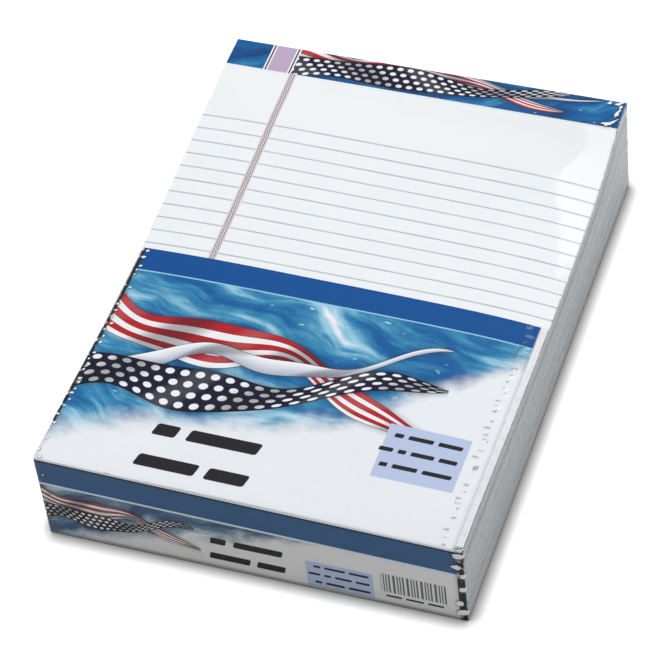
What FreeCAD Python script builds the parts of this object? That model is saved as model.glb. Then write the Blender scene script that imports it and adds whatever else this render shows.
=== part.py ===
"""A sealed pack of twelve ruled writing pads, wrapped in clear shrink film with a printed label.

Every pad is a block of sheets on a card backing, wire-stitched through the head under a strip of
printed tape. The heads are thicker than the paper, and the film pulls the pile down between its
ends, so the top of the pile is dished and lower on the right than on the left.

Axes: +X across the pads to the right, +Y along them towards the heads, +Z up. The origin is under
the middle of the pack, on the surface that it stands on.
"""

import FreeCAD, Part
import math
import os

Vector = FreeCAD.Vector

# Pads, letter width
pad_count = 12
sheet_width = 215.9
sheet_length = 298.45
backing_thickness = 0.5
pressed_gap = 0.08  # air left between layers that are pressed together
pad_stagger = 0.3  # how far a pad lies out of line with the pile, to either side
stagger_turn = 2.4  # radians from one pad's place in the wave of the stagger to the next one's

# Printed tape over each head: on the front, over the end and on to the back
tape_depth = 19.05
tape_thickness = 0.15

# Wire stitches through each head, under the tape
stitch_count = 3
stitch_spacing = 72.0
stitch_crown = 12.0
stitch_clinch = 4.0
stitch_wire = 0.45
stitch_from_end = 8.0

# Height of the pile: flat over the heads, then a smooth curve down each rim to the foot.
# Each rim is a Bezier curve. Its control points are evenly spaced from the tape's edge to the foot.
head_height = 61.3
left_shoulder = 58.1
left_chest = 53.4
left_waist = 47.0
left_hip = 56.1
left_foot = 57.8
right_shoulder = 36.0
right_chest = 56.5
right_waist = 40.0
right_hip = 56.0
right_foot = 53.5

# Label: one printed sheet over the near half of the top and down the foot end
label_thickness = 0.2
label_reach = 147.5  # from the foot end to the label's far edge
label_left_inset = 1.4
label_right_inset = 3.6
label_bottom_gap = 0.8

# Shrink film, with a seal along each long side and small pleats where it gathers at the corners
film_thickness = 0.15
seal_level = 0.86  # share of the pile's height below the seal
seal_width = 1.2
seal_height = 0.4
pleat_count = 5
pleat_start = 0.12  # share of the pile's height below the lowest pleat
pleat_length = 6.0
pleat_width = 1.8
pleat_height = 0.4

# Worked out from the sizes above
half_width = sheet_width / 2
head_end = sheet_length / 2
foot_end = -sheet_length / 2
head_line = head_end - tape_depth
pile_base = film_thickness
left_rim = [head_height, left_shoulder, left_chest, left_waist, left_hip, left_foot]
right_rim = [head_height, right_shoulder, right_chest, right_waist, right_hip, right_foot]
label_lift = pressed_gap + label_thickness
cavity_half_width = half_width + pad_stagger
cavity_half_length = head_end + label_thickness
film_half_width = cavity_half_width + film_thickness
film_half_length = cavity_half_length + film_thickness


def rim_heights(x):
    """Control heights of the top at x, in proportion between the left rim and the right one."""
    share = (x + half_width) / sheet_width
    return [left + (right - left) * share for left, right in zip(left_rim, right_rim)]


def lengthwise_curve(x, level, lift):
    """Curve from the head tape's edge to the foot end, at x and at a share of the pile's height."""
    heights = rim_heights(x)
    step = (head_line - foot_end) / (len(heights) - 1)
    curve = Part.BezierCurve()
    curve.setPoles([
        Vector(x, head_line - i * step, pile_base + level * height + lift)
        for i, height in enumerate(heights)
    ])
    return curve


def height_at(x, y, level=1.0):
    """Height of a level of the pile above the surface that the pack stands on."""
    if y >= head_line:
        return pile_base + level * head_height
    share = min((head_line - y) / (head_line - foot_end), 1.0)
    return lengthwise_curve(x, level, 0).value(share).z


def lengthwise_edges(x, level, y_far, y_near, lift, head_lift):
    """Edges along the pile at x from y_far to y_near: flat over the head, curved, flat past the foot."""
    z = pile_base + level * head_height
    if level == 0 and head_lift == lift:
        return [Part.makeLine(Vector(x, y_far, z + lift), Vector(x, y_near, z + lift))]
    edges = []
    if y_far > head_line:
        corner = Vector(x, head_line, z + head_lift)
        edges.append(Part.makeLine(Vector(x, y_far, z + head_lift), corner))
        if head_lift != lift:
            edges.append(Part.makeLine(corner, Vector(x, head_line, z + lift)))
    curve = lengthwise_curve(x, level, lift)
    if y_far < head_line:
        curve.segment((head_line - y_far) / (head_line - foot_end), 1)
    edges.append(curve.toShape())
    if y_near < foot_end:
        start = curve.value(1)
        edges.append(Part.makeLine(start, Vector(x, y_near, start.z)))
    return edges


def slab(x_left, x_right, y_far, y_near, low, high):
    """Solid between two levels of the pile. low and high are (level, lift, lift over the head)."""
    sections = []
    for x in (x_left, x_right):
        top = lengthwise_edges(x, high[0], y_far, y_near, high[1], high[2])
        bottom = lengthwise_edges(x, low[0], y_far, y_near, low[1], low[2])
        far_top, near_top = top[0].firstVertex(True).Point, top[-1].lastVertex(True).Point
        far_low, near_low = bottom[0].firstVertex(True).Point, bottom[-1].lastVertex(True).Point
        far = Part.makeLine(far_low, far_top)
        near = Part.makeLine(near_top, near_low)
        sections.append(Part.Wire([far] + top + [near] + bottom[::-1]))
    return Part.makeLoft(sections, True, True)


def box(x0, x1, y0, y1, z0, z1):
    """Block between two places along each axis."""
    return Part.makeBox(x1 - x0, y1 - y0, z1 - z0, Vector(x0, y0, z0))


def stitch(x, z_low, z_high):
    """One wire stitch: a crown on the sheets, two legs, and both ends clinched under the backing."""
    y0 = head_end - stitch_from_end
    y1 = y0 + stitch_wire
    left, right = x - stitch_crown / 2, x + stitch_crown / 2
    pieces = [
        box(left, left + stitch_wire, y0, y1, z_low, z_high),
        box(right - stitch_wire, right, y0, y1, z_low, z_high),
        box(left, left + stitch_clinch, y0, y1, z_low, z_low + stitch_wire),
        box(right - stitch_clinch, right, y0, y1, z_low, z_low + stitch_wire),
    ]
    crown = box(left, right, y0, y1, z_high - stitch_wire, z_high)
    return crown.multiFuse(pieces).removeSplitter()


def head_tape(x_left, x_right, z_low, z_high):
    """Tape folded over a pad's head, as a U from the side."""
    outer = [
        (head_line, z_low),
        (head_end, z_low),
        (head_end, z_high),
        (head_line, z_high),
        (head_line, z_high - tape_thickness),
        (head_end - tape_thickness, z_high - tape_thickness),
        (head_end - tape_thickness, z_low + tape_thickness),
        (head_line, z_low + tape_thickness),
        (head_line, z_low),
    ]
    profile = Part.Face(Part.makePolygon([Vector(x_left, y, z) for y, z in outer]))
    return profile.extrude(Vector(x_right - x_left, 0, 0))


def pad(index):
    """The four kinds of piece in one pad, counted from the bottom of the pile."""
    low = index / pad_count
    high = (index + 1) / pad_count
    shift = pad_stagger * math.sin(stagger_turn * index)
    x_left, x_right = shift - half_width, shift + half_width
    z_low = pile_base + low * head_height
    z_high = pile_base + high * head_height
    y_far = head_end - tape_thickness

    middle = (stitch_count - 1) / 2
    stitches = Part.makeCompound([
        stitch(shift + (i - middle) * stitch_spacing, z_low + tape_thickness, z_high - tape_thickness)
        for i in range(stitch_count)
    ])
    backing_top = pressed_gap + backing_thickness
    head_top = tape_thickness + backing_thickness
    backing = slab(
        x_left, x_right, y_far, foot_end,
        (low, pressed_gap, tape_thickness), (low, backing_top, head_top),
    )
    sheets = slab(
        x_left, x_right, y_far, foot_end,
        (low, backing_top + pressed_gap, head_top), (high, 0, -tape_thickness),
    )
    return {
        "sheets": sheets.cut(stitches),
        "backing": backing.cut(stitches),
        "head_tape": head_tape(x_left, x_right, z_low, z_high),
        "stitches": stitches,
    }


def label():
    """The label sheet: over the top from its far edge to the foot, then down the foot end."""
    x_left = label_left_inset - half_width
    x_right = half_width - label_right_inset
    y_far = foot_end + label_reach
    top = slab(
        x_left, x_right, y_far, foot_end,
        (1, pressed_gap, pressed_gap), (1, label_lift, label_lift),
    )
    bottom = pile_base + label_bottom_gap
    corners = [
        Vector(x_left, foot_end, bottom),
        Vector(x_right, foot_end, bottom),
        Vector(x_right, foot_end, height_at(x_right, foot_end) + label_lift),
        Vector(x_left, foot_end, height_at(x_left, foot_end) + label_lift),
    ]
    flap = Part.Face(Part.makePolygon(corners + corners[:1])).extrude(Vector(0, -label_thickness, 0))
    return top.fuse(flap).removeSplitter()


def seal(side):
    """Flattened weld bead of the film along a long side. side is -1 for the left, 1 for the right."""
    x_inner, x_outer = sorted((side * cavity_half_width, side * (film_half_width + seal_height)))
    low = (seal_level, 0, 0)
    high = (seal_level, seal_width, seal_width)
    return slab(x_inner, x_outer, head_end, foot_end, low, high)


def pleat(side, end, level):
    """Small gathered fold of film on an end wall, next to an upright corner of the pack."""
    x = side * film_half_width
    y = end * (film_half_length - film_thickness / 2)
    z = height_at(side * half_width, end * head_end, level)
    tip = x - side * pleat_length
    ridge = y + end * (pleat_height + film_thickness / 2)
    profile = Part.Face(Part.makePolygon([
        Vector(x, y, z - pleat_width / 2),
        Vector(x, y, z + pleat_width / 2),
        Vector(x, ridge, z),
        Vector(x, y, z - pleat_width / 2),
    ]))
    point = Part.Vertex(tip, y, z)
    return Part.makeLoft([profile.OuterWire, point], True, True)


def film():
    """Closed clear skin around the pile and the label."""
    lift = label_lift + pressed_gap
    cover = lift + film_thickness
    inner = slab(
        -cavity_half_width, cavity_half_width, cavity_half_length, -cavity_half_length,
        (0, 0, 0), (1, lift, lift),
    )
    outer = slab(
        -film_half_width, film_half_width, film_half_length, -film_half_length,
        (0, -film_thickness, -film_thickness), (1, cover, cover),
    )
    gathers = [seal(-1), seal(1)]
    for side in (-1, 1):
        for end in (-1, 1):
            for i in range(pleat_count):
                gathers.append(pleat(side, end, pleat_start + i / pleat_count))
    return outer.multiFuse(gathers).cut(inner)


os.makedirs("parts", exist_ok=True)
pieces = {"label": label(), "film": film()}
for index in range(pad_count):
    for name, shape in pad(index).items():
        pieces["pad_%02d_%s" % (index + 1, name)] = shape
for name, shape in pieces.items():
    shape.exportStep("parts/" + name + ".step")
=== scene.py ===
import bmesh
import bpy
import math
import random
from mathutils import Matrix, Vector, kdtree, noise


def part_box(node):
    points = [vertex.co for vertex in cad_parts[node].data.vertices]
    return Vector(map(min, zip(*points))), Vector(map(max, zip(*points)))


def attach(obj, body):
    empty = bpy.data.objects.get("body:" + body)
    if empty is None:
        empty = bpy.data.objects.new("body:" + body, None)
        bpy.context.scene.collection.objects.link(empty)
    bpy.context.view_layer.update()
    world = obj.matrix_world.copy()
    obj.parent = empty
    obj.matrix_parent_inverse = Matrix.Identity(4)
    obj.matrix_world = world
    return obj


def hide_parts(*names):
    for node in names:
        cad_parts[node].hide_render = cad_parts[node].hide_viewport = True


# A shrink-wrapped pack of twelve ruled writing pads with a printed label, in metres.
# The sections follow the pack as it is put together, from the sheets to the film.

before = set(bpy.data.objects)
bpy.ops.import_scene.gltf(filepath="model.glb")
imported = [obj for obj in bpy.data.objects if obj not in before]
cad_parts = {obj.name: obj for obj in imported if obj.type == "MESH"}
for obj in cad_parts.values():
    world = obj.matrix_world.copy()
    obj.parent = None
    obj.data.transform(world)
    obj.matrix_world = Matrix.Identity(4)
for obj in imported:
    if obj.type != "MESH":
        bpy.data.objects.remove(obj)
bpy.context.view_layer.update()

# Sheets: fifty leaves of white bond paper to a pad, ruled in pale blue with a double margin line.
# They are jogged flush, stitched through the head and trimmed, so their sides show fine leaf edges.
# The film pulls the whole pile into a dish, and each level of it follows one falling height.
pad_count = 12
sheet_width = 0.2159
sheet_length = 0.29845
head_height = 0.0613
left_rim = [head_height, 0.0581, 0.0534, 0.0470, 0.0561, 0.0578]
right_rim = [head_height, 0.0360, 0.0565, 0.0400, 0.0560, 0.0535]
half_width = sheet_width / 2
foot_end = -sheet_length / 2
head_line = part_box("pad_12_head_tape")[0].y
pile_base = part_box("pad_01_head_tape")[0].z

left_crown = 0.0022  # how far the top page stands above a straight line from rim to rim
right_crown = 0.0034
crown_rise = 0.035
crown_fade = 0.11

first_rule = 0.0932
rule_spacing = 0.00897
rule_skew = 0.010
rule_width = 0.0009
rule_blur = 0.0002
margin_line = -0.0697
margin_gap = 0.0023
margin_width = 0.0005
hatch_spacing = 0.0022
hatch_lean = 1.6
perforation_inset = 0.0012
leaf_play = 0.00014  # how far a leaf may lie back from the face of the block
leaf_rings = 14
backing_room = 0.00058  # backing and air under the sheets of a pad
lowest_room = 0.00065  # the same for the lowest pad
tape_thickness = 0.00015


def pile_height(x, y):
    """Height of the pile above its base: flat over the heads, a Bezier curve along each rim."""
    t = min(max((head_line - y) / (head_line - foot_end), 0.0), 1.0)
    share = (x + half_width) / sheet_width
    order = len(left_rim) - 1
    height = 0.0
    for i, (left, right) in enumerate(zip(left_rim, right_rim)):
        weight = math.comb(order, i) * t ** i * (1 - t) ** (order - i)
        height += weight * (left + (right - left) * share)
    return height


def eased(value):
    """Smooth step from 0 to 1."""
    value = min(max(value, 0.0), 1.0)
    return value * value * (3 - 2 * value)


def page_height(x, y):
    """Height of the top page: the pile's, with a crown that dies out at the rims and both ends."""
    share = (x + half_width) / sheet_width
    crown = left_crown + (right_crown - left_crown) * share
    crown *= max(1 - abs(x / half_width) ** 4, 0.0)
    crown *= eased((head_line - y) / crown_rise) * eased((y - foot_end) / crown_fade)
    return pile_height(x, y) + crown


def stations(low, high, step):
    """Evenly spaced places from low to high, about a step apart."""
    count = max(round((high - low) / step), 1)
    return [low + (high - low) * i / count for i in range(count + 1)]


def pile_block(columns, rows, levels):
    """Closed block on a grid in plan. Its heights are still levels, from 0 at the base to 1."""
    block = bmesh.new()
    bmesh.ops.create_grid(
        block, x_segments=len(columns) - 1, y_segments=len(rows) - 1, size=0.5)
    grown = bmesh.ops.extrude_face_region(
        block, geom=block.verts[:] + block.edges[:] + block.faces[:], use_keep_orig=True)
    upper = [part for part in grown["geom"] if isinstance(part, bmesh.types.BMVert)]
    bmesh.ops.translate(block, vec=(0, 0, 1), verts=upper)
    uprights = [e for e in block.edges if abs(e.verts[0].co.z - e.verts[1].co.z) > 0.5]
    bmesh.ops.subdivide_edges(
        block, edges=uprights, cuts=len(levels) - 2, use_grid_fill=True)
    bmesh.ops.recalc_face_normals(block, faces=block.faces)
    for vertex in block.verts:
        column = round((vertex.co.x + 0.5) * (len(columns) - 1))
        row = round((vertex.co.y + 0.5) * (len(rows) - 1))
        level = round(vertex.co.z * (len(levels) - 1))
        vertex.co = (columns[column], rows[row], levels[level])
    return block


def finished_piece(name, form, materials, sharp_angle=35):
    """Turn a bmesh into an object with smooth faces and sharp edges past an angle in degrees."""
    mesh = bpy.data.meshes.new(name)
    form.to_mesh(mesh)
    form.free()
    mesh.shade_smooth()
    mesh.set_sharp_from_angle(angle=math.radians(sharp_angle))
    for material in materials:
        mesh.materials.append(material)
    piece = bpy.data.objects.new(name, mesh)
    bpy.context.scene.collection.objects.link(piece)
    return piece


def feed(tree, socket, value):
    """Link a node's input to another node, or set its value."""
    if isinstance(value, bpy.types.NodeSocket):
        tree.links.new(value, socket)
    else:
        socket.default_value = value


def calc(tree, operation, *values, clamp=False):
    """One step of arithmetic on numbers."""
    node = tree.nodes.new("ShaderNodeMath")
    node.operation = operation
    node.use_clamp = clamp
    for socket, value in zip(node.inputs, values):
        feed(tree, socket, value)
    return node.outputs[0]


def times(tree, *values):
    """Product of numbers."""
    product = values[0]
    for value in values[1:]:
        product = calc(tree, "MULTIPLY", product, value)
    return product


def plus(tree, *values, clamp=False):
    """Sum of numbers. The last step may be held between 0 and 1."""
    total = values[0]
    for i, value in enumerate(values[1:], 2):
        total = calc(tree, "ADD", total, value, clamp=clamp and i == len(values))
    return total


def minus(tree, first, second):
    """Difference of two numbers."""
    return calc(tree, "SUBTRACT", first, second)


def vector_calc(tree, operation, *values):
    """One step of arithmetic on vectors."""
    node = tree.nodes.new("ShaderNodeVectorMath")
    node.operation = operation
    for socket, value in zip(node.inputs, values):
        feed(tree, socket, value)
    return node.outputs["Value" if operation in ("LENGTH", "DISTANCE") else "Vector"]


def scaled(tree, vector, by):
    """Vector times a number for each axis."""
    return vector_calc(tree, "MULTIPLY", vector, by)


def parts_of(tree, vector):
    """The three numbers of a vector."""
    node = tree.nodes.new("ShaderNodeSeparateXYZ")
    feed(tree, node.inputs[0], vector)
    return list(node.outputs)


def joined(tree, x, y, z=0.0):
    """A vector from three numbers."""
    node = tree.nodes.new("ShaderNodeCombineXYZ")
    for socket, value in zip(node.inputs, (x, y, z)):
        feed(tree, socket, value)
    return node.outputs[0]


def rise(tree, value, low, high):
    """Smooth step of a value, from 0 at low to 1 at high. It falls where high is under low."""
    node = tree.nodes.new("ShaderNodeMapRange")
    node.interpolation_type = "SMOOTHSTEP"
    for socket, part in zip(node.inputs, (value, low, high)):
        feed(tree, socket, part)
    return node.outputs[0]


def stripe(tree, value, centre, width, edge):
    """Mask of a stripe of a width about a centre, with soft edges."""
    away = calc(tree, "ABSOLUTE", minus(tree, value, centre))
    return rise(tree, away, width / 2 + edge, width / 2 - edge)


def under(tree, value, reach):
    """Mask of the values under a reach, with a crisp edge."""
    return rise(tree, value, reach + 0.0001, reach - 0.0001)


def blotches(tree, vector, scale, detail=2.0, roughness=0.5):
    """Noise from 0 to 1 at so many blotches a metre."""
    node = tree.nodes.new("ShaderNodeTexNoise")
    settings = {"Vector": vector, "Scale": scale, "Detail": detail, "Roughness": roughness}
    for name, value in settings.items():
        feed(tree, node.inputs[name], value)
    return node.outputs[0]


def mixed(tree, factor, first, second):
    """Second colour over the first one, by a factor."""
    node = tree.nodes.new("ShaderNodeMix")
    node.data_type = "RGBA"
    for index, value in ((0, factor), (6, first), (7, second)):
        feed(tree, node.inputs[index], value)
    return node.outputs[2]


def ink(red, green, blue):
    """Linear colour of an ink or paper, from its values of 0 to 255 on a screen."""
    linear = []
    for part in (red, green, blue):
        share = part / 255
        linear.append(share / 12.92 if share <= 0.04045 else ((share + 0.055) / 1.055) ** 2.4)
    return (*linear, 1.0)


def new_group(name, inputs, outputs):
    """Empty node group with named sockets: {name: default} in, {name: kind} out."""
    group = bpy.data.node_groups.new(name, "ShaderNodeTree")
    for label, value in inputs.items():
        kind = "Float" if isinstance(value, float) else "Vector" if len(value) == 3 else "Color"
        socket = group.interface.new_socket(label, in_out="INPUT", socket_type="NodeSocket" + kind)
        socket.default_value = value
    for label, kind in outputs.items():
        group.interface.new_socket(label, in_out="OUTPUT", socket_type="NodeSocket" + kind)
    source = group.nodes.new("NodeGroupInput").outputs
    result = group.nodes.new("NodeGroupOutput").inputs
    return group, source, result


def use_group(tree, group, values):
    """Place a node group in a material and feed its named inputs."""
    node = tree.nodes.new("ShaderNodeGroup")
    node.node_tree = group
    for name, value in values.items():
        feed(tree, node.inputs[name], value)
    return node.outputs


def new_material(name, constants):
    """Material with one surface shader, with its constant values set on its own sockets."""
    material = bpy.data.materials.new(name)
    material.use_nodes = True
    tree = material.node_tree
    shader = tree.nodes["Principled BSDF"]
    for socket, value in constants.items():
        shader.inputs[socket].default_value = value
    place = tree.nodes.new("ShaderNodeTexCoord").outputs["Object"]
    return material, tree, shader, place


def finish_surface(tree, shader, colour, roughness, height, strength, distance):
    """Connect a colour and a roughness, raise the surface by a pattern, and return its normal."""
    feed(tree, shader.inputs["Base Color"], colour)
    feed(tree, shader.inputs["Roughness"], roughness)
    bump = tree.nodes.new("ShaderNodeBump")
    bump.inputs["Strength"].default_value = strength
    bump.inputs["Distance"].default_value = distance
    feed(tree, bump.inputs["Height"], height)
    tree.links.new(bump.outputs[0], shader.inputs["Normal"])
    return bump.outputs[0]


def stored(tree, name):
    """Number that is stored on the points of the mesh."""
    node = tree.nodes.new("ShaderNodeAttribute")
    node.attribute_name = name
    return node.outputs["Fac"]


def paper_group():
    """Paper: a base tone with cloudy formation and short fibres."""
    group, source, result = new_group(
        "paper_fibre",
        {"Position": (0, 0, 0), "Tone": ink(240, 242, 244), "Cloudiness": 0.04, "Fibre": 0.05},
        {"Color": "Color", "Roughness": "Float", "Height": "Float"})
    cloud = blotches(group, source["Position"], 45, 3)
    long_fibre = blotches(group, scaled(group, source["Position"], (900, 2600, 900)), 1, 3, 0.7)
    cross_fibre = blotches(group, scaled(group, source["Position"], (2600, 900, 900)), 1, 3, 0.7)
    fibre = times(group, plus(group, long_fibre, cross_fibre), 0.5)
    shade = times(group, minus(group, cloud, 0.5), source["Cloudiness"])
    speck = times(group, minus(group, fibre, 0.5), source["Fibre"])
    level = plus(group, shade, speck, 1)
    colour = scaled(group, source["Tone"], joined(group, level, level, level))
    group.links.new(colour, result["Color"])
    group.links.new(plus(group, times(group, fibre, 0.3), 0.6, clamp=True), result["Roughness"])
    group.links.new(fibre, result["Height"])
    return group


paper_fibre = paper_group()
page_white = ink(238, 241, 244)
rule_ink = ink(164, 181, 186)
margin_ink = ink(146, 127, 136)
margin_tint = ink(222, 216, 220)
hatch_ink = ink(146, 136, 142)
leaf_edge_light = ink(230, 233, 237)
leaf_gap_painted_shade = ink(188, 191, 196)


def ruled_page():
    """White bond with pale blue rules, a double margin line and a row of perforations."""
    material, tree, shader, place = new_material("ruled_page", {"Specular IOR Level": 0.1})
    paper = use_group(tree, paper_fibre, {"Position": place, "Tone": page_white})
    x, y = parts_of(tree, place)[0:2]
    level_y = minus(tree, y, times(tree, x, rule_skew))
    steps = calc(tree, "DIVIDE", minus(tree, first_rule, level_y), rule_spacing)
    nearest = times(tree, calc(tree, "PINGPONG", steps, 0.5), rule_spacing)
    below_first = rise(tree, steps, -0.3, -0.2)
    ink_flow = plus(tree, times(tree, blotches(tree, place, 60, 3), 0.7), 0.45, clamp=True)
    rule = rise(tree, nearest, rule_width / 2 + rule_blur, rule_width / 2 - rule_blur)
    rule = times(tree, rule, below_first, ink_flow)
    colour = mixed(tree, rule, paper["Color"], rule_ink)
    tint = stripe(tree, x, margin_line, margin_gap * 1.9, 0.0004)
    colour = mixed(tree, tint, colour, margin_tint)
    aslant = plus(tree, times(tree, x, hatch_lean), y)
    hatch = calc(tree, "SINE", times(tree, aslant, 2 * math.pi / hatch_spacing))
    hatch = rise(tree, hatch, -0.1, 0.5)
    hatch = times(tree, hatch, stripe(tree, x, margin_line, margin_gap, 0.0001))
    colour = mixed(tree, hatch, colour, hatch_ink)
    away = calc(tree, "ABSOLUTE", minus(tree, x, margin_line))
    lines = stripe(tree, away, margin_gap / 2, margin_width, 0.0001)
    lines = times(tree, lines, ink_flow)
    colour = mixed(tree, lines, colour, margin_ink)
    perforated = stripe(tree, y, head_line - perforation_inset, 0.0003, 0.0001)
    holes = rise(tree, calc(tree, "SINE", times(tree, x, 3500)), 0.1, 0.5)
    colour = mixed(tree, times(tree, perforated, holes, 0.35), colour, ink(150, 152, 156))
    finish_surface(tree, shader, colour, paper["Roughness"], paper["Height"], 0.12, 0.0001)
    return material


def leaf_edges():
    """Trimmed sides of the leaves: fine lines along the pile, with painted shade where the leaves
    part.
    """
    material, tree, shader, place = new_material("leaf_edges", {"Specular IOR Level": 0.2})
    x, y = parts_of(tree, place)[0:2]
    along = joined(tree, x, y, stored(tree, "leaf"))
    fine = blotches(tree, scaled(tree, along, (30, 30, 7000)), 1, 3, 0.7)
    broad = blotches(tree, scaled(tree, along, (14, 14, 900)), 1, 2, 0.6)
    scuffs = blotches(tree, scaled(tree, along, (260, 260, 420)), 1, 3, 0.7)
    tone = plus(tree, times(tree, fine, 0.55), times(tree, broad, 0.45))
    # The darker lines are painted shade in the gaps between the leaves.
    colour = mixed(tree, rise(tree, tone, 0.62, 0.36), leaf_edge_light, leaf_gap_painted_shade)
    colour = mixed(tree, rise(tree, scuffs, 0.6, 0.75), colour, ink(214, 217, 220))
    finish_surface(tree, shader, colour, rise(tree, scuffs, -0.8, 1.1), fine, 0.5, 0.0002)
    return material


sheet_materials = [ruled_page(), leaf_edges()]
for index in range(pad_count):
    node = "pad_%02d_sheets" % (index + 1)
    near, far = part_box(node)
    room = backing_room if index else lowest_room
    low = (index * head_height / pad_count + room) / head_height
    high = (index + 1) / pad_count
    levels = [low + (high - low) * i / leaf_rings for i in range(leaf_rings + 1)]
    block = pile_block(stations(near.x, far.x, 0.009), stations(near.y, far.y, 0.005), levels)
    draw = random.Random(index + 1)
    set_back = [0.0] + [draw.random() * leaf_play for _ in levels[2:]] + [0.0]
    leaf_layer = block.verts.layers.float.new("leaf")
    for vertex in block.verts:
        x, y, level = vertex.co
        vertex[leaf_layer] = level * head_height
        ring = round((level - low) / (high - low) * leaf_rings)
        back = set_back[ring]
        if back:
            back += leaf_play * (0.5 + 0.5 * noise.noise(Vector((x * 40, y * 40, level * 300))))
        vertex.co.x -= back * (1 if x > far.x - 1e-6 else -1 if x < near.x + 1e-6 else 0)
        vertex.co.y += back if y < near.y + 1e-6 else 0.0
        height = level * pile_height(x, y)
        if ring == leaf_rings and index == pad_count - 1:
            height = page_height(x, y)
        drop = tape_thickness if ring == leaf_rings and y > head_line else 0.0
        vertex.co.z = pile_base + height - drop
    block.normal_update()
    for face in block.faces:
        face.material_index = 0 if abs(face.normal.z) > 0.7 else 1
    sheets = finished_piece("pad_%02d_leaves" % (index + 1), block, sheet_materials)
    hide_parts(node)
    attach(sheets, "root")

# Backings: one sheet of grey chipboard under each pad, rolled from waste paper, so it is flecked.
# It is cut with the leaves and held by the same stitches.
board_grey = ink(176, 171, 163)
board_dark = ink(128, 120, 110)


def chipboard():
    """Grey board with short fibres and dark flecks."""
    material, tree, shader, place = new_material("chipboard", {"Specular IOR Level": 0.2})
    paper = use_group(
        tree, paper_fibre,
        {"Position": place, "Tone": board_grey, "Cloudiness": 0.25, "Fibre": 0.7})
    flecks = rise(tree, blotches(tree, place, 900, 3, 0.6), 0.6, 0.72)
    colour = mixed(tree, flecks, paper["Color"], board_dark)
    finish_surface(tree, shader, colour, paper["Roughness"], paper["Height"], 0.3, 0.0002)
    return material


def dress_pads(piece, material):
    """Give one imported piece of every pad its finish."""
    for index in range(pad_count):
        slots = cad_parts["pad_%02d_%s" % (index + 1, piece)].data.materials
        slots.clear()
        slots.append(material)


dress_pads("backing", chipboard())

# Stitches: three steel wire stitches through each head, clinched flat under the backing.
# They are drawn wire, so the surface has fine lines along it. The tape covers them.
wire_steel = ink(176, 178, 182)


def drawn_wire():
    """Drawn steel wire."""
    material, tree, shader, place = new_material("drawn_wire", {"Metallic": 1.0})
    lines = blotches(tree, scaled(tree, place, (200, 9000, 9000)), 1, 2)
    colour = mixed(tree, times(tree, lines, 0.4), wire_steel, ink(120, 122, 126))
    roughness = plus(tree, times(tree, lines, 0.25), 0.22)
    finish_surface(tree, shader, colour, roughness, lines, 0.2, 0.00005)
    return material


dress_pads("stitches", drawn_wire())

# Head tapes: coated paper tape, printed in four colours and glued over each head, on to the back.
# The print is a generic one of ribbons on blue. It runs from the front over the end.
ribbon_start = 0.036
panel_middle = 0.029
bare_from = 0.1067  # where the print stops on the lower pads, from the middle
print_blue = ink(12, 94, 156)
print_deep = ink(8, 64, 118)
print_teal = ink(60, 142, 182)
print_pale = ink(150, 200, 224)
print_navy = ink(16, 16, 46)
print_red = ink(178, 30, 38)
print_white = ink(236, 238, 242)
panel_mauve = ink(188, 166, 196)
outline_width = 0.0003
bar_edge = 0.0002
dot_rows = 4
dotted, banded, silver = 0.0, 1.0, 2.0


def ribbon_group():
    """One waving ribbon: masks of its face, outline and shadow, folds and the share across."""
    group, source, result = new_group(
        "ribbon_wave",
        {"Position": (0, 0, 0), "Level": 0.0, "Slope": 0.0, "Sway": 0.0, "Turns": 0.0,
         "Phase": 0.0, "Width": 0.0, "End": 1.0},
        dict.fromkeys(("Share", "Face", "Outline", "Shadow", "Folds"), "Float"))
    u, v = parts_of(group, source["Position"])[0:2]
    angle = plus(group, times(group, u, source["Turns"]), source["Phase"])
    bend = times(group, calc(group, "SINE", angle), source["Sway"])
    flutter = times(group, calc(group, "SINE", times(group, angle, 2.3)), 0.22)
    bend = plus(group, bend, times(group, flutter, source["Sway"]))
    centre = plus(group, source["Level"], times(group, u, source["Slope"]), bend)
    left = calc(group, "MAXIMUM", minus(group, 1, calc(group, "DIVIDE", u, source["End"])), 0.0)
    taper = calc(group, "POWER", left, 0.6)
    turned = calc(group, "COSINE", plus(group, times(group, angle, 0.8), 0.7))
    twist = plus(group, times(group, turned, turned, 0.45), 0.6)
    width = times(group, taper, twist, source["Width"])
    width = calc(group, "MAXIMUM", width, 0.00001)
    away = minus(group, v, centre)
    share = plus(group, calc(group, "DIVIDE", away, width), 0.5)
    outside = minus(group, calc(group, "ABSOLUTE", away), times(group, width, 0.5))
    alive = rise(group, width, 0.0002, 0.0008)
    face = times(group, under(group, outside, 0.0), alive)
    line = times(group, under(group, minus(group, outside, outline_width), 0.0), alive)
    shadow = times(group, rise(group, outside, 0.0045, -0.001), alive)
    fold = calc(group, "SINE", plus(group, times(group, angle, 2), times(group, share, 1.8)))
    folds = plus(group, times(group, fold, 0.5), 0.5)
    found = {"Share": share, "Face": face, "Outline": line, "Shadow": shadow, "Folds": folds}
    for name, value in found.items():
        group.links.new(value, result[name])
    return group


def steps_of_colour(tree, value, stops):
    """Colour that changes in steps along a value. stops are (place, colour)."""
    node = tree.nodes.new("ShaderNodeValToRGB")
    ramp = node.color_ramp
    ramp.interpolation = "CONSTANT"
    while len(ramp.elements) < len(stops):
        ramp.elements.new(0.5)
    for element, (place, colour) in zip(ramp.elements, stops):
        element.position = place
        element.color = colour
    feed(tree, node.inputs[0], value)
    return node.outputs[0]


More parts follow.
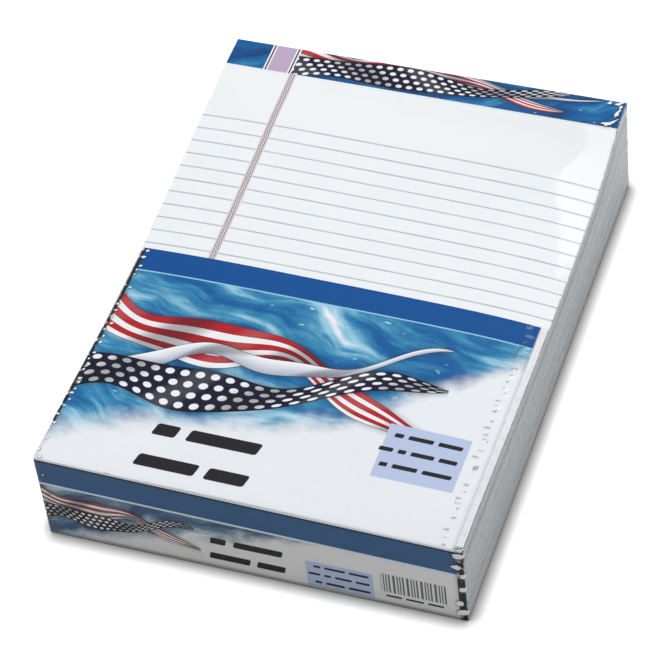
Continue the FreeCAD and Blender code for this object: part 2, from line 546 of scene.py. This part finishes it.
def ribbon_face_group():
    """Face of a ribbon: 0 is navy with round white dots, 1 red and white bands, 2 plain silver."""
    group, source, result = new_group(
        "ribbon_face",
        {"Along": 0.0, "Share": 0.0, "Folds": 0.0, "Kind": 0.0, "Dots": 100.0},
        {"Color": "Color"})
    share, kind = source["Share"], source["Kind"]
    row = times(group, share, dot_rows)
    odd = times(group, calc(group, "FLOORED_MODULO", calc(group, "FLOOR", row), 2), 0.5)
    column = plus(group, times(group, source["Along"], source["Dots"]), odd)
    cell = joined(group, calc(group, "FRACT", column), calc(group, "FRACT", row))
    dot = rise(group, vector_calc(group, "DISTANCE", cell, (0.5, 0.5, 0.0)), 0.33, 0.26)
    navy = mixed(group, dot, print_navy, print_white)
    bands = steps_of_colour(group, share, [
        (0.0, print_red), (0.2, print_white), (0.36, print_red), (0.56, print_white),
        (0.72, print_red), (0.88, print_white)])
    plain = mixed(group, share, ink(244, 246, 250), ink(166, 172, 190))
    colour = mixed(group, rise(group, kind, 0.4, 0.6), navy, bands)
    colour = mixed(group, rise(group, kind, 1.4, 1.6), colour, plain)
    shadow = times(group, rise(group, source["Folds"], 0.45, 0.0), 0.55)
    colour = mixed(group, shadow, colour, ink(14, 12, 30))
    shine = times(group, rise(group, source["Folds"], 0.8, 1.0), 0.05)
    colour = mixed(group, shine, colour, (1, 1, 1, 1))
    group.links.new(colour, result["Color"])
    return group


def wash_group():
    """Brushed blue wash with pale drifts that run aslant, and small bright touches."""
    group, source, result = new_group(
        "blue_wash",
        {"Position": (0, 0, 0), "Scale": 1.0, "Paleness": 0.0},
        {"Color": "Color"})
    spot = scaled(group, source["Position"], joined(group, source["Scale"], source["Scale"]))
    swirl = times(group, minus(group, blotches(group, spot, 16), 0.5), 0.05)
    u, v = parts_of(group, spot)[0:2]
    along = plus(group, times(group, u, 12), times(group, v, 3))
    across = minus(group, times(group, v, 50), times(group, u, 14))
    across = plus(group, across, times(group, swirl, 50))
    drift = blotches(group, joined(group, along, across), 1, 5, 0.6)
    drift = plus(group, drift, source["Paleness"])
    colour = mixed(group, rise(group, drift, 0.34, 0.52), print_deep, print_blue)
    colour = mixed(group, rise(group, drift, 0.50, 0.64), colour, print_teal)
    colour = mixed(group, rise(group, drift, 0.60, 0.72), colour, print_pale)
    colour = mixed(group, rise(group, drift, 0.70, 0.80), colour, print_white)
    touch = blotches(group, scaled(group, spot, (0.8, 2.2, 1.0)), 150)
    colour = mixed(group, rise(group, touch, 0.70, 0.76), colour, ink(190, 218, 238))
    group.links.new(colour, result["Color"])
    return group


def bar_group():
    """Mask of a rounded bar that may lean."""
    group, source, result = new_group(
        "printed_bar",
        {"Position": (0, 0, 0), "Centre": (0, 0, 0), "Half Size": (0, 0, 0),
         "Corner": 0.0, "Lean": 0.0},
        {"Mask": "Float"})
    offset = parts_of(group, vector_calc(group, "SUBTRACT", source["Position"], source["Centre"]))
    across = plus(group, offset[0], times(group, offset[1], source["Lean"]))
    corner = joined(group, source["Corner"], source["Corner"])
    core = vector_calc(group, "SUBTRACT", source["Half Size"], corner)
    away = vector_calc(group, "ABSOLUTE", joined(group, across, offset[1]))
    away = vector_calc(group, "SUBTRACT", away, core)
    reach = vector_calc(group, "LENGTH", vector_calc(group, "MAXIMUM", away, (0, 0, 0)))
    outside = minus(group, reach, source["Corner"])
    group.links.new(rise(group, outside, bar_edge, -bar_edge), result["Mask"])
    return group


ribbon_wave = ribbon_group()
ribbon_face = ribbon_face_group()
blue_wash = wash_group()
printed_bar = bar_group()


def bars(tree, place, list_of_bars, corner, lean=0.0):
    """Mask of several bars, each given as (left, right, low, high) on the print."""
    total = 0.0
    for left, right, low, high in list_of_bars:
        bar = use_group(tree, printed_bar, {
            "Position": place, "Corner": corner, "Lean": lean,
            "Centre": ((left + right) / 2, (low + high) / 2, 0),
            "Half Size": ((right - left) / 2, (high - low) / 2, 0)})
        total = calc(tree, "MAXIMUM", total, bar["Mask"])
    return total


def lay_ribbon(
        tree, place, colour, kind, level, slope, sway, turns, phase, width, end, dots=100.0):
    """Lay one ribbon with its shadow and outline over a colour."""
    ribbon = use_group(tree, ribbon_wave, {
        "Position": place, "Level": level, "Slope": slope, "Sway": sway, "Turns": turns,
        "Phase": phase, "Width": width, "End": end})
    face = use_group(tree, ribbon_face, {
        "Along": parts_of(tree, place)[0], "Share": ribbon["Share"], "Folds": ribbon["Folds"],
        "Kind": kind, "Dots": dots})
    colour = mixed(tree, times(tree, ribbon["Shadow"], 0.35), colour, ink(8, 20, 48))
    colour = mixed(tree, ribbon["Outline"], colour, ink(16, 14, 34))
    return mixed(tree, ribbon["Face"], colour, face["Color"])


def tape_print():
    """Printed tape: a blue wash, a mauve panel and ribbons that cross. Its cut sides are bare."""
    material, tree, shader, place = new_material("tape_print", {"Specular IOR Level": 0.15})
    x, y, z = parts_of(tree, place)
    below_top = minus(tree, pile_base + head_height + 0.00002, z)
    over_end = calc(tree, "WRAP", below_top, head_height / pad_count, 0.0)
    depth = plus(tree, minus(tree, y, head_line), over_end)
    u = plus(tree, x, half_width)
    spot = joined(tree, u, depth)
    wash = use_group(tree, blue_wash, {"Position": spot, "Scale": 1.3, "Paleness": -0.04})
    colour = wash["Color"]
    from_panel = vector_calc(tree, "SUBTRACT", spot, (ribbon_start, 0, 0))
    ribbons = lay_ribbon(
        tree, from_panel, colour, silver, level=0.018, slope=-0.02, sway=0.003, turns=70.0,
        phase=2.0, width=0.007, end=0.17)
    ribbons = lay_ribbon(
        tree, from_panel, ribbons, banded, level=0.019, slope=-0.075, sway=0.003, turns=52.0,
        phase=3.4, width=0.020, end=0.15)
    ribbons = lay_ribbon(
        tree, from_panel, ribbons, dotted, level=0.004, slope=0.085, sway=0.003, turns=44.0,
        phase=0.2, width=0.022, end=0.15, dots=175.0)
    colour = mixed(tree, under(tree, u, ribbon_start), ribbons, colour)
    from_middle = calc(tree, "ABSOLUTE", minus(tree, u, panel_middle))
    for reach, edge_ink in (
            (0.0080, print_white), (0.0071, ink(20, 20, 44)), (0.0063, print_white),
            (0.0055, panel_mauve)):
        colour = mixed(tree, under(tree, from_middle, reach), colour, edge_ink)
    normal = tree.nodes.new("ShaderNodeNewGeometry").outputs["True Normal"]
    sideways = calc(tree, "ABSOLUTE", parts_of(tree, normal)[0])
    near_side = rise(tree, calc(tree, "ABSOLUTE", x), bare_from - 0.0001, bare_from + 0.0001)
    lower = rise(tree, z, head_height - 0.003, head_height - 0.004)
    cut = calc(tree, "MAXIMUM", times(tree, near_side, lower), rise(tree, sideways, 0.7, 0.8))
    colour = mixed(tree, cut, colour, leaf_edge_light)
    finish_surface(tree, shader, colour, 0.4, blotches(tree, place, 2200, 2), 0.08, 0.00005)
    return material


dress_pads("head_tape", tape_print())

# Label: one sheet of coated stock, printed on one side. It lies over the near half of the top pad.
# It is creased over the foot and hangs down the foot end, held only by the film.
label_low, label_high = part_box("label")
label_thickness = 0.0002
label_lift = 0.00028
label_waviness = 0.00006
crease_radius = 0.0015
label_ground = ink(232, 235, 239)
end_ground = ink(228, 231, 227)
band_blue = ink(2, 78, 148)
end_band_blue = ink(50, 92, 138)
lettering_ink = ink(30, 30, 36)
panel_lavender = ink(184, 198, 228)
top_rows, turn_rows, drop_rows = 58, 6, 20
label_columns = 70
band_depth = 0.0145
band_border = 0.0008
end_band_depth = 0.0185
end_band_border = 0.0014
label_far_inset = 0.0021  # at the far end, and none at the foot


def words(low, high, *spans):
    """Bars in place of a line of words. Each span is (left, right)."""
    return [(left, right, low, high) for left, right in spans]


def printed_finish(tree, shader, place, colour):
    """Lay the grain of coated stock over a print and connect it."""
    grain = blotches(tree, place, 1500, 3)
    speckle = plus(tree, times(tree, grain, 0.12), 0.94)
    colour = scaled(tree, colour, joined(tree, speckle, speckle, speckle))
    finish_surface(tree, shader, colour, 0.45, grain, 0.06, 0.00005)


def float_curve(tree, value, points):
    """Number that follows a smooth curve through points on a unit square."""
    node = tree.nodes.new("ShaderNodeFloatCurve")
    curve = node.mapping.curves[0]
    while len(curve.points) < len(points):
        curve.points.new(0.5, 0.5)
    for point, place in zip(curve.points, points):
        point.location = place
    node.mapping.update()
    feed(tree, node.inputs["Value"], value)
    return node.outputs[0]


def label_front():
    """Front of the label: a blue band, a fading blue field with ribbons, and plain dark bars."""
    material, tree, shader, place = new_material("label_front", {"Specular IOR Level": 0.12})
    x, y = parts_of(tree, place)[0:2]
    u = minus(tree, x, label_low.x)
    v = minus(tree, label_high.y, y)
    spot = joined(tree, u, v)
    paper = use_group(
        tree, paper_fibre, {"Position": place, "Tone": label_ground, "Cloudiness": 0.05})
    share = calc(tree, "DIVIDE", u, label_high.x - label_low.x)
    edge = float_curve(tree, share, [
        (0.0, 0.86), (0.2, 0.74), (0.45, 0.68), (0.7, 0.52), (0.85, 0.34), (1.0, 0.18)])
    below = minus(tree, v, times(tree, edge, 0.15))
    ragged = times(tree, minus(tree, blotches(tree, spot, 40, 4, 0.6), 0.5), 0.03)
    field = rise(tree, plus(tree, below, ragged), 0.008, -0.012)
    drift = plus(tree, times(tree, rise(tree, u, 0.15, 0.02), 0.04), 0.06)
    wash = use_group(tree, blue_wash, {"Position": spot, "Scale": 1.0, "Paleness": drift})["Color"]
    colour = mixed(tree, field, paper["Color"], wash)
    colour = lay_ribbon(
        tree, spot, colour, banded, level=0.040, slope=0.22, sway=0.0085, turns=46.0,
        phase=0.3, width=0.036, end=0.190)
    colour = lay_ribbon(
        tree, spot, colour, silver, level=0.082, slope=-0.26, sway=0.008, turns=52.0,
        phase=1.9, width=0.015, end=0.175)
    colour = lay_ribbon(
        tree, spot, colour, dotted, level=0.094, slope=-0.20, sway=0.0075, turns=42.0,
        phase=4.4, width=0.034, end=0.180, dots=128.0)
    heading = (words(0.1105, 0.1180, (0.0490, 0.0610), (0.0665, 0.1030))
               + words(0.1310, 0.1385, (0.0470, 0.0780), (0.0830, 0.1035)))
    colour = mixed(tree, bars(tree, spot, heading, 0.0015, 0.22), colour, lettering_ink)
    panel = bars(tree, spot, [(0.159, 0.2, 0.0815, 0.1155)], 0.0003)
    colour = mixed(tree, panel, colour, panel_lavender)
    lines = (words(0.0867, 0.0893, (0.163, 0.1675), (0.17, 0.1825), (0.185, 0.197))
             + words(0.0962, 0.0988, (0.158, 0.165), (0.1675, 0.1715), (0.174, 0.1855),
                     (0.188, 0.197))
             + words(0.1057, 0.1083, (0.161, 0.165), (0.1675, 0.18), (0.1825, 0.197)))
    colour = mixed(tree, bars(tree, spot, lines, 0.0006, 0.15), colour, lettering_ink)
    colour = mixed(tree, under(tree, v, band_depth + band_border), colour, print_pale)
    colour = mixed(tree, under(tree, v, band_depth), colour, band_blue)
    printed_finish(tree, shader, place, colour)
    return material


def label_end():
    """Flap of the label on the foot end: the design, smaller and greyer, plain bars, and a dark
    line of painted shade just under the crease.
    """
    material, tree, shader, place = new_material("label_end", {"Specular IOR Level": 0.12})
    x, _, z = parts_of(tree, place)
    u = minus(tree, x, label_low.x)
    spot = joined(tree, u, z)
    paper = use_group(
        tree, paper_fibre, {"Position": place, "Tone": end_ground, "Cloudiness": 0.06})
    fold_slope = page_height(half_width, foot_end) - page_height(-half_width, foot_end)
    fold_slope /= sheet_width
    fold_start = pile_base + page_height(label_low.x, foot_end) + label_lift
    from_fold = minus(tree, plus(tree, times(tree, u, fold_slope), fold_start), z)
    down = minus(tree, from_fold, end_band_depth)
    picture = joined(tree, u, down)
    ragged = times(tree, minus(tree, blotches(tree, spot, 70, 4, 0.6), 0.5), 0.02)
    below = plus(tree, down, times(tree, u, 0.30), ragged)
    field = rise(tree, below, 0.046, 0.034)
    wash = use_group(tree, blue_wash, {"Position": spot, "Scale": 1.6, "Paleness": 0.09})["Color"]
    colour = mixed(tree, field, paper["Color"], wash)
    colour = lay_ribbon(
        tree, picture, colour, banded, level=0.007, slope=0.20, sway=0.0035, turns=100.0,
        phase=0.3, width=0.015, end=0.080)
    colour = lay_ribbon(
        tree, picture, colour, dotted, level=0.025, slope=-0.16, sway=0.0035, turns=92.0,
        phase=4.4, width=0.014, end=0.078, dots=290.0)
    flat = joined(tree, u, times(tree, z, -1))
    shade = tree.nodes.new("ShaderNodeRGBToBW")
    feed(tree, shade.inputs[0], colour)
    grey = joined(tree, *[shade.outputs[0]] * 3)
    colour = mixed(tree, 0.5, colour, grey)
    heading = (words(-0.0240, -0.0192, (0.0855, 0.0935), (0.0975, 0.1225))
               + words(-0.0120, -0.0072, (0.0840, 0.1050), (0.1085, 0.1230)))
    colour = mixed(tree, bars(tree, flat, heading, 0.0010, 0.22), colour, lettering_ink)
    panel = bars(tree, flat, [(0.134, 0.168, -0.0215, -0.0025)], 0.0003)
    colour = mixed(tree, panel, colour, panel_lavender)
    lines = (words(-0.0190, -0.0173, (0.138, 0.1415), (0.1435, 0.154), (0.156, 0.166))
             + words(-0.0130, -0.0113, (0.135, 0.141), (0.143, 0.1465), (0.1485, 0.157),
                     (0.159, 0.166))
             + words(-0.0070, -0.0053, (0.138, 0.1415), (0.1435, 0.153), (0.155, 0.166)))
    colour = mixed(tree, bars(tree, flat, lines, 0.0005, 0.15), colour, lettering_ink)
    uneven = times(tree, calc(tree, "SINE", times(tree, u, 900)), 0.0004)
    code = calc(tree, "SINE", times(tree, plus(tree, u, uneven), 3600))
    dark_bars = rise(tree, code, -0.15, 0.25)
    window = bars(tree, spot, [(0.172, 0.205, 0.010, 0.024)], 0.0001)
    colour = mixed(tree, times(tree, window, dark_bars), colour, lettering_ink)
    caption = words(-0.0078, -0.0064, (0.174, 0.182), (0.184, 0.193), (0.195, 0.203))
    colour = mixed(tree, bars(tree, flat, caption, 0.0004, 0.15), colour, lettering_ink)
    # The near-black band just under the crease is painted shade along the fold, not print.
    for reach, edge_ink in (
            (end_band_depth + end_band_border, ink(214, 228, 236)), (end_band_depth, end_band_blue),
            (crease_radius + 0.0012, ink(14, 26, 50)), (crease_radius, label_ground)):
        colour = mixed(tree, under(tree, from_fold, reach), colour, edge_ink)
    printed_finish(tree, shader, place, colour)
    return material


def label_edge(y):
    """Left edge of the label, a little aslant. It reaches the pack's edge at the foot."""
    share = min(max((label_high.y - y) / (label_high.y - foot_end), 0.0), 1.0)
    return -half_width + label_far_inset * (1 - share)


def label_point(across, row):
    """Point of the label's outer face: along the top, round the crease and down the foot end."""
    y_face = foot_end - label_thickness
    y_turn = y_face + crease_radius
    y = label_high.y + (y_turn - label_high.y) * min(row / top_rows, 1.0)
    x = label_edge(y) + (label_high.x - label_edge(y)) * across
    top = pile_base + page_height(x, y) + label_lift
    if row <= top_rows:
        return x, y, top + label_waviness * noise.noise(Vector((x * 30, y * 30, 0)))
    turn = math.pi / 2 * min((row - top_rows) / turn_rows, 1.0)
    z = top - crease_radius + crease_radius * math.cos(turn)
    if row > top_rows + turn_rows:
        z += (label_low.z - z) * (row - top_rows - turn_rows) / drop_rows
    return x, y_turn - crease_radius * math.sin(turn), z


label_rows = top_rows + turn_rows + drop_rows
label_form = bmesh.new()
bmesh.ops.create_grid(label_form, x_segments=label_columns, y_segments=label_rows, size=0.5)
for vertex in label_form.verts:
    vertex.co = label_point(vertex.co.x + 0.5, round((0.5 - vertex.co.y) * label_rows))
for face in label_form.faces:
    on_flap = face.calc_center_median().y <= foot_end - label_thickness + 0.00006
    face.material_index = 1 if on_flap else 0
label_form.normal_update()
if sum(face.normal.z for face in label_form.faces) < 0:
    bmesh.ops.reverse_faces(label_form, faces=label_form.faces)
label = finished_piece("label_sheet", label_form, [label_front(), label_end()], 60)
stock = label.modifiers.new("stock", "SOLIDIFY")
stock.thickness = label_thickness
stock.offset = -1
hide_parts("label")
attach(label, "root")

# Film: clear polyolefin shrink film, welded along both long sides and shrunk on in a hot tunnel.
# It gathers into milky puckers at the corners and along the label's edges, and pleats at the ends.
film_half_width = 0.1084
film_half_length = 0.149575
film_cover = 0.00051
seal_level = 0.86
seal_height = 0.0004
seal_width = 0.0012
seal_band = 0.02  # the same width as a share of the height
film_radius = 0.0009
haze_beside, haze_on_strip = 0.38, 0.75  # how far the film hides what is under it
# Strengths of painted shade along the right rim, in the near right corner, along the welded seams
# and beside the label's left edge; dark past 0.5.
rim_shade, corner_shade, seal_shade, label_edge_shade = 0.9, 0.85, 0.63, 0.95  # dark past 0.5
label_edge_shade_reach = 0.003
label_edge_shade_end = -0.125
corner_shade_reach = 0.0045
pucker_step = 0.02
pucker_overlap = 0.0005
right_inset = 0.006  # of the puckers from the label's right edge
left_inset = 0.0017


def over(tree, factor, first, second):
    """Second shader over the first one, by a factor."""
    node = tree.nodes.new("ShaderNodeMixShader")
    for socket, value in zip(node.inputs, (factor, first, second)):
        feed(tree, socket, value)
    return node.outputs[0]


def clear_film():
    """Clear film that shines. Its gathers turn white, partly real milkiness and partly painted
    highlight, with painted shade beside them, along tight creases and on its right side.
    """
    material, tree, shader, place = new_material("clear_film", {"IOR": 1.4})
    fold = stored(tree, "gather")
    crumple = minus(tree, blotches(tree, place, 420, 3, 0.65), 0.5)
    gathered = plus(tree, fold, times(tree, crumple, 0.9))
    near_fold = rise(tree, fold, 0.05, 0.2)
    # White in the gathers: partly the film's real milkiness, partly painted highlight off its
    # wrinkles.
    milk_and_highlight = times(tree, rise(tree, gathered, 0.48, 0.60), near_fold)
    # Painted shade in a thin ring round each pucker.
    shaded = times(tree, rise(tree, gathered, 0.30, 0.42), near_fold, 0.38)
    broken = rise(tree, blotches(tree, place, 240, 3, 0.7), 0.34, 0.48)
    # Painted shade along the right rim, the label's left edge, the near right corner and the welded
    # seams, broken into dashes.
    dark = times(tree, rise(tree, stored(tree, "crease"), 0.5, 0.8), broken)
    dark = calc(tree, "MAXIMUM", times(tree, dark, 0.94), shaded)
    brushed = blotches(tree, scaled(tree, place, (1, 0.12, 1)), 700, 3, 0.65)
    haze = times(tree, stored(tree, "haze"), plus(tree, times(tree, brushed, 1.1), 0.35))
    x = parts_of(tree, place)[0]
    # Painted shade: the film's right side takes a darker tone than its top, as that side lies in
    # shade.
    shaded_right_side = rise(tree, x, film_half_width - 0.0006, film_half_width - 0.0002)
    tone = mixed(tree, shaded_right_side, ink(240, 243, 247), ink(196, 201, 206))
    # Painted shade: near-black where the film lies in creases and beside puckers.
    tone = mixed(tree, rise(tree, dark, 0.05, 0.25), tone, ink(16, 19, 25))
    tone = mixed(tree, milk_and_highlight, tone, ink(244, 246, 249))
    normal = finish_surface(tree, shader, tone, 0.3, blotches(tree, place, 70), 0.15, 0.0006)
    covered = calc(tree, "MAXIMUM", times(tree, milk_and_highlight, 0.96), calc(tree, "MAXIMUM", dark, haze))
    clear = tree.nodes.new("ShaderNodeBsdfTransparent")
    gloss = tree.nodes.new("ShaderNodeBsdfAnisotropic")
    gloss.inputs["Roughness"].default_value = 0.05
    tree.links.new(normal, gloss.inputs["Normal"])
    fresnel = tree.nodes.new("ShaderNodeFresnel")
    fresnel.inputs["IOR"].default_value = 1.25
    tree.links.new(normal, fresnel.inputs["Normal"])
    outer = minus(tree, 1, tree.nodes.new("ShaderNodeNewGeometry").outputs["Backfacing"])
    shine = times(tree, fresnel.outputs[0], outer)
    skin = over(tree, shine, clear.outputs[0], gloss.outputs[0])
    whole = over(tree, covered, skin, shader.outputs[0])
    tree.links.new(whole, tree.nodes["Material Output"].inputs["Surface"])
    return material


def close_stations(low, high, step, fine, reach):
    """Places from low to high that lie closer together within reach of both ends."""
    return (
        stations(low, low + reach, fine)[:-1]
        + stations(low + reach, high - reach, step)
        + stations(high - reach, high, fine)[1:])


film_columns = close_stations(-film_half_width, film_half_width, 0.004, 0.0012, 0.014)
film_rows = stations(-film_half_length, film_half_length, 0.0015)
film_levels = sorted(set(
    stations(0, 1, 1 / 30) + stations(seal_level, seal_level + seal_band, 0.004)))
film_form = pile_block(film_columns, film_rows, film_levels)
gather_layer = film_form.verts.layers.float.new("gather")
crease_shade_layer = film_form.verts.layers.float.new("crease")
haze_layer = film_form.verts.layers.float.new("haze")
for vertex in film_form.verts:
    x, y, level = vertex.co
    height = page_height(x, y) if level > 1 - 1e-6 else pile_height(x, y)
    vertex.co.z = level * (pile_base + height + film_cover)
    if abs(x) > film_half_width - 1e-6 and seal_level < level < seal_level + seal_band:
        vertex.co.x += math.copysign(seal_height, x)
film_form.normal_update()

pucker_draw = random.Random(11)


def pucker_row(start, end, spacing, run, length, width, height, milk_and_highlight_share):
    """Puckers along a line, each turned and sized a little differently.

    Each one is (place, run, length, width, height, share of milkiness and painted highlight).
    """
    line = Vector(end) - Vector(start)
    count = max(round(line.length / spacing), 1)
    row = []
    for i in range(count):
        place = Vector(start) + line * (i + pucker_draw.uniform(0.15, 0.85)) / count
        place.x += pucker_draw.uniform(-0.25, 0.25) * spacing
        turned = Vector(run) + Vector([pucker_draw.uniform(-0.35, 0.35) for _ in range(3)])
        size = pucker_draw.uniform(0.6, 1.3)
        broad = width * pucker_draw.uniform(0.8, 1.2)
        row.append((place, turned.normalized(), length * size, broad, height * size, milk_and_highlight_share))
    return row


def top_at(x, y):
    """Point of the film's top."""
    return (x, y, pile_base + page_height(x, y) + film_cover)


puckers = []
for start in stations(-film_half_length, label_high.y, pucker_step)[:-1]:
    end = start + pucker_step + pucker_overlap
    right = label_high.x - right_inset
    milk_and_highlight_share = 0.9 if start > label_high.y - pucker_step else 0.5
    puckers += pucker_row(
        top_at(right, start), top_at(right, end), 0.004,
        (1, 0.25, 0), 0.0046, 0.0015, 0.0003, milk_and_highlight_share)
    low, high = (top_at(label_edge(y) + left_inset, y) for y in (start, end))
    puckers += pucker_row(low, high, 0.004, (1, -0.2, 0), 0.0021, 0.0013, 0.0002, 1.0)
for side in (-1, 1):
    for end in (-1, 1):
        corner = (side * (film_half_width - 0.002), end * film_half_length)
        z_top = pile_height(*corner)
        strength, height = (1.0, 0.0005) if side > 0 > end else (0.5, 0.0001)
        puckers += pucker_row(
            (*corner, 0.002), (*corner, z_top), 0.0085,
            (1, 0, 0.35), 0.005, 0.0034, height, strength)
head_right = film_half_width - 0.010
side_right = film_half_width - 0.0028
for y in (head_line + 0.0015, film_half_length - 0.0025):
    puckers += pucker_row(
        top_at(head_right, y), top_at(side_right, y), 0.003,
        (1, 0.7, 0), 0.0048, 0.0016, 0.0004, 0.9)
low, high = (top_at(side_right, y) for y in (head_line + 0.001, film_half_length - 0.001))
puckers += pucker_row(low, high, 0.0028, (0.5, 1, 0), 0.004, 0.0015, 0.0003, 0.85)

finder = kdtree.KDTree(len(film_form.verts))
film_form.verts.ensure_lookup_table()
for i, vertex in enumerate(film_form.verts):
    finder.insert(vertex.co, i)
finder.balance()
lifts = [0.0] * len(film_form.verts)
for place, run, length, width, height, milk_and_highlight_share in puckers:
    for found, i, gap in finder.find_range(place, length):
        vertex = film_form.verts[i]
        offset = found - place
        offset -= vertex.normal * offset.dot(vertex.normal)
        along = offset.dot(run)
        across = (offset - run * along).length
        amount = math.exp(-(2 * along / length) ** 2 - (2 * across / width) ** 2)
        lifts[i] = max(lifts[i], height * amount)
        vertex[gather_layer] = max(vertex[gather_layer], milk_and_highlight_share * min(1.0, 1.6 * amount))
for vertex in film_form.verts:
    x, y, z = vertex.co
    top = top_at(x, y)[2]
    on_side = abs(x) > film_half_width - 1e-6
    on_top = z > top - 1e-6
    on_near_end = y < -film_half_length + 1e-6 and not on_top
    # The crease attribute carries painted shade, not a colour of the film.
    if on_side and on_top and x > 0:
        vertex[crease_shade_layer] = rim_shade
    if on_top and label_high.y > y > label_edge_shade_end:
        crease = label_edge_shade - abs(x - label_edge(y)) / label_edge_shade_reach
        vertex[crease_shade_layer] = max(vertex[crease_shade_layer], crease)
    if on_side and not on_top:
        vertex[haze_layer] = haze_beside
    if on_top and label_high.x + 0.0004 < x and y < label_high.y + 0.001:
        vertex[haze_layer] = haze_on_strip
    if on_near_end and x > film_half_width - corner_shade_reach:
        vertex[crease_shade_layer] = corner_shade
    if on_side and 0 < z - seal_level * top < seal_width:
        vertex[crease_shade_layer] = seal_shade
for vertex, lift in zip(film_form.verts, lifts):
    vertex.co += vertex.normal * lift
film = finished_piece("shrink_film", film_form, [clear_film()], 180)
edge_round = film.modifiers.new("edge_round", "BEVEL")
edge_round.width = film_radius
edge_round.segments = 3
edge_round.limit_method = "ANGLE"
edge_round.angle_limit = math.radians(60)
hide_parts("film")
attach(film, "root")

# Setting: a pale floor, a large softbox on the left, smaller ones behind and on the right.
# The camera looks down on the pack from the front right, as in the photograph.
sky = 0.5
floor_albedo = 0.6
floor_lift = 0.75
contact_shadow_reach = 0.0085
contact_shadow_depth = 1.9


def floor_finish():
    """Pale matte floor, white to the camera, with a soft painted shadow round the pack, darkened
    from ambient occlusion into its colour and glow.
    """
    material, tree, shader, place = new_material(
        "floor_finish", {"Roughness": 0.9, "Specular IOR Level": 0.0})
    # Painted contact shadow: colour and glow darkened by ambient occlusion near the pack.
    nearby = tree.nodes.new("ShaderNodeAmbientOcclusion")
    nearby.inputs["Distance"].default_value = contact_shadow_reach
    shade = calc(tree, "POWER", nearby.outputs["AO"], contact_shadow_depth)
    tone = plus(tree, times(tree, blotches(tree, place, 3, 2), 0.01), floor_albedo - 0.005)
    tone = times(tree, tone, shade)
    tree.links.new(joined(tree, tone, tone, tone), shader.inputs["Base Color"])
    shader.inputs["Emission Color"].default_value = (1, 1, 1, 1)
    seen = tree.nodes.new("ShaderNodeLightPath").outputs["Is Camera Ray"]
    feed(tree, shader.inputs["Emission Strength"], times(tree, seen, shade, floor_lift))
    return material


floor_form = bmesh.new()
bmesh.ops.create_circle(floor_form, cap_ends=True, segments=64, radius=6)
floor = finished_piece("floor", floor_form, [floor_finish()])

world = bpy.data.worlds.new("studio")
bpy.context.scene.world = world
world.use_nodes = True
tree = world.node_tree
seen = tree.nodes.new("ShaderNodeLightPath").outputs["Is Camera Ray"]
level = plus(tree, times(tree, seen, 1 - sky), sky)
tree.nodes["Background"].inputs["Color"].default_value = (1, 1, 1, 1)
tree.links.new(level, tree.nodes["Background"].inputs["Strength"])


def softbox(name, direction, distance, width, depth, power, target, turn=0.0):
    """Area lamp that faces a target, turned about its own axis."""
    data = bpy.data.lights.new(name, "AREA")
    data.shape = "RECTANGLE"
    data.size = width
    data.size_y = depth
    data.energy = power
    lamp = bpy.data.objects.new(name, data)
    bpy.context.scene.collection.objects.link(lamp)
    facing = Vector(direction).normalized()
    lamp.location = Vector(target) + facing * distance
    spin = Matrix.Rotation(turn, 4, "Z")
    lamp.rotation_euler = (facing.to_track_quat("Z", "Y").to_matrix().to_4x4() @ spin).to_euler()


softbox("key", (-0.45, -0.15, 0.88), 1.6, 0.8, 0.8, 6.7, (0, 0, 0.05))
softbox("window", (-0.033, 0.31, 0.95), 1.5, 0.25, 1.1, 6.8, (0.09, 0.09, 0.05), math.radians(-25))
softbox("side", (0.8, 0.55, 0.22), 1.0, 0.5, 0.5, 4.2, (0.108, 0.1, 0.03))

view_azimuth = math.radians(23.83)
view_elevation = math.radians(47.84)
view_distance = 1.60995
view_target = Vector((-0.00432, -0.01289, 0.030))
view_roll = math.radians(-7.35)
camera_data = bpy.data.cameras.new("camera")
camera_data.sensor_width = 36
camera_data.lens = 173.45
camera_data.clip_end = 20
camera = bpy.data.objects.new("camera", camera_data)
bpy.context.scene.collection.objects.link(camera)
back = Vector((
    math.sin(view_azimuth) * math.cos(view_elevation),
    -math.cos(view_azimuth) * math.cos(view_elevation),
    math.sin(view_elevation)))
turn = (-back).to_track_quat("-Z", "Y").to_matrix().to_4x4() @ Matrix.Rotation(view_roll, 4, "Z")
camera.matrix_world = Matrix.Translation(view_target + back * view_distance) @ turn
bpy.context.scene.camera = camera
bpy.context.scene.view_settings.view_transform = "Standard"
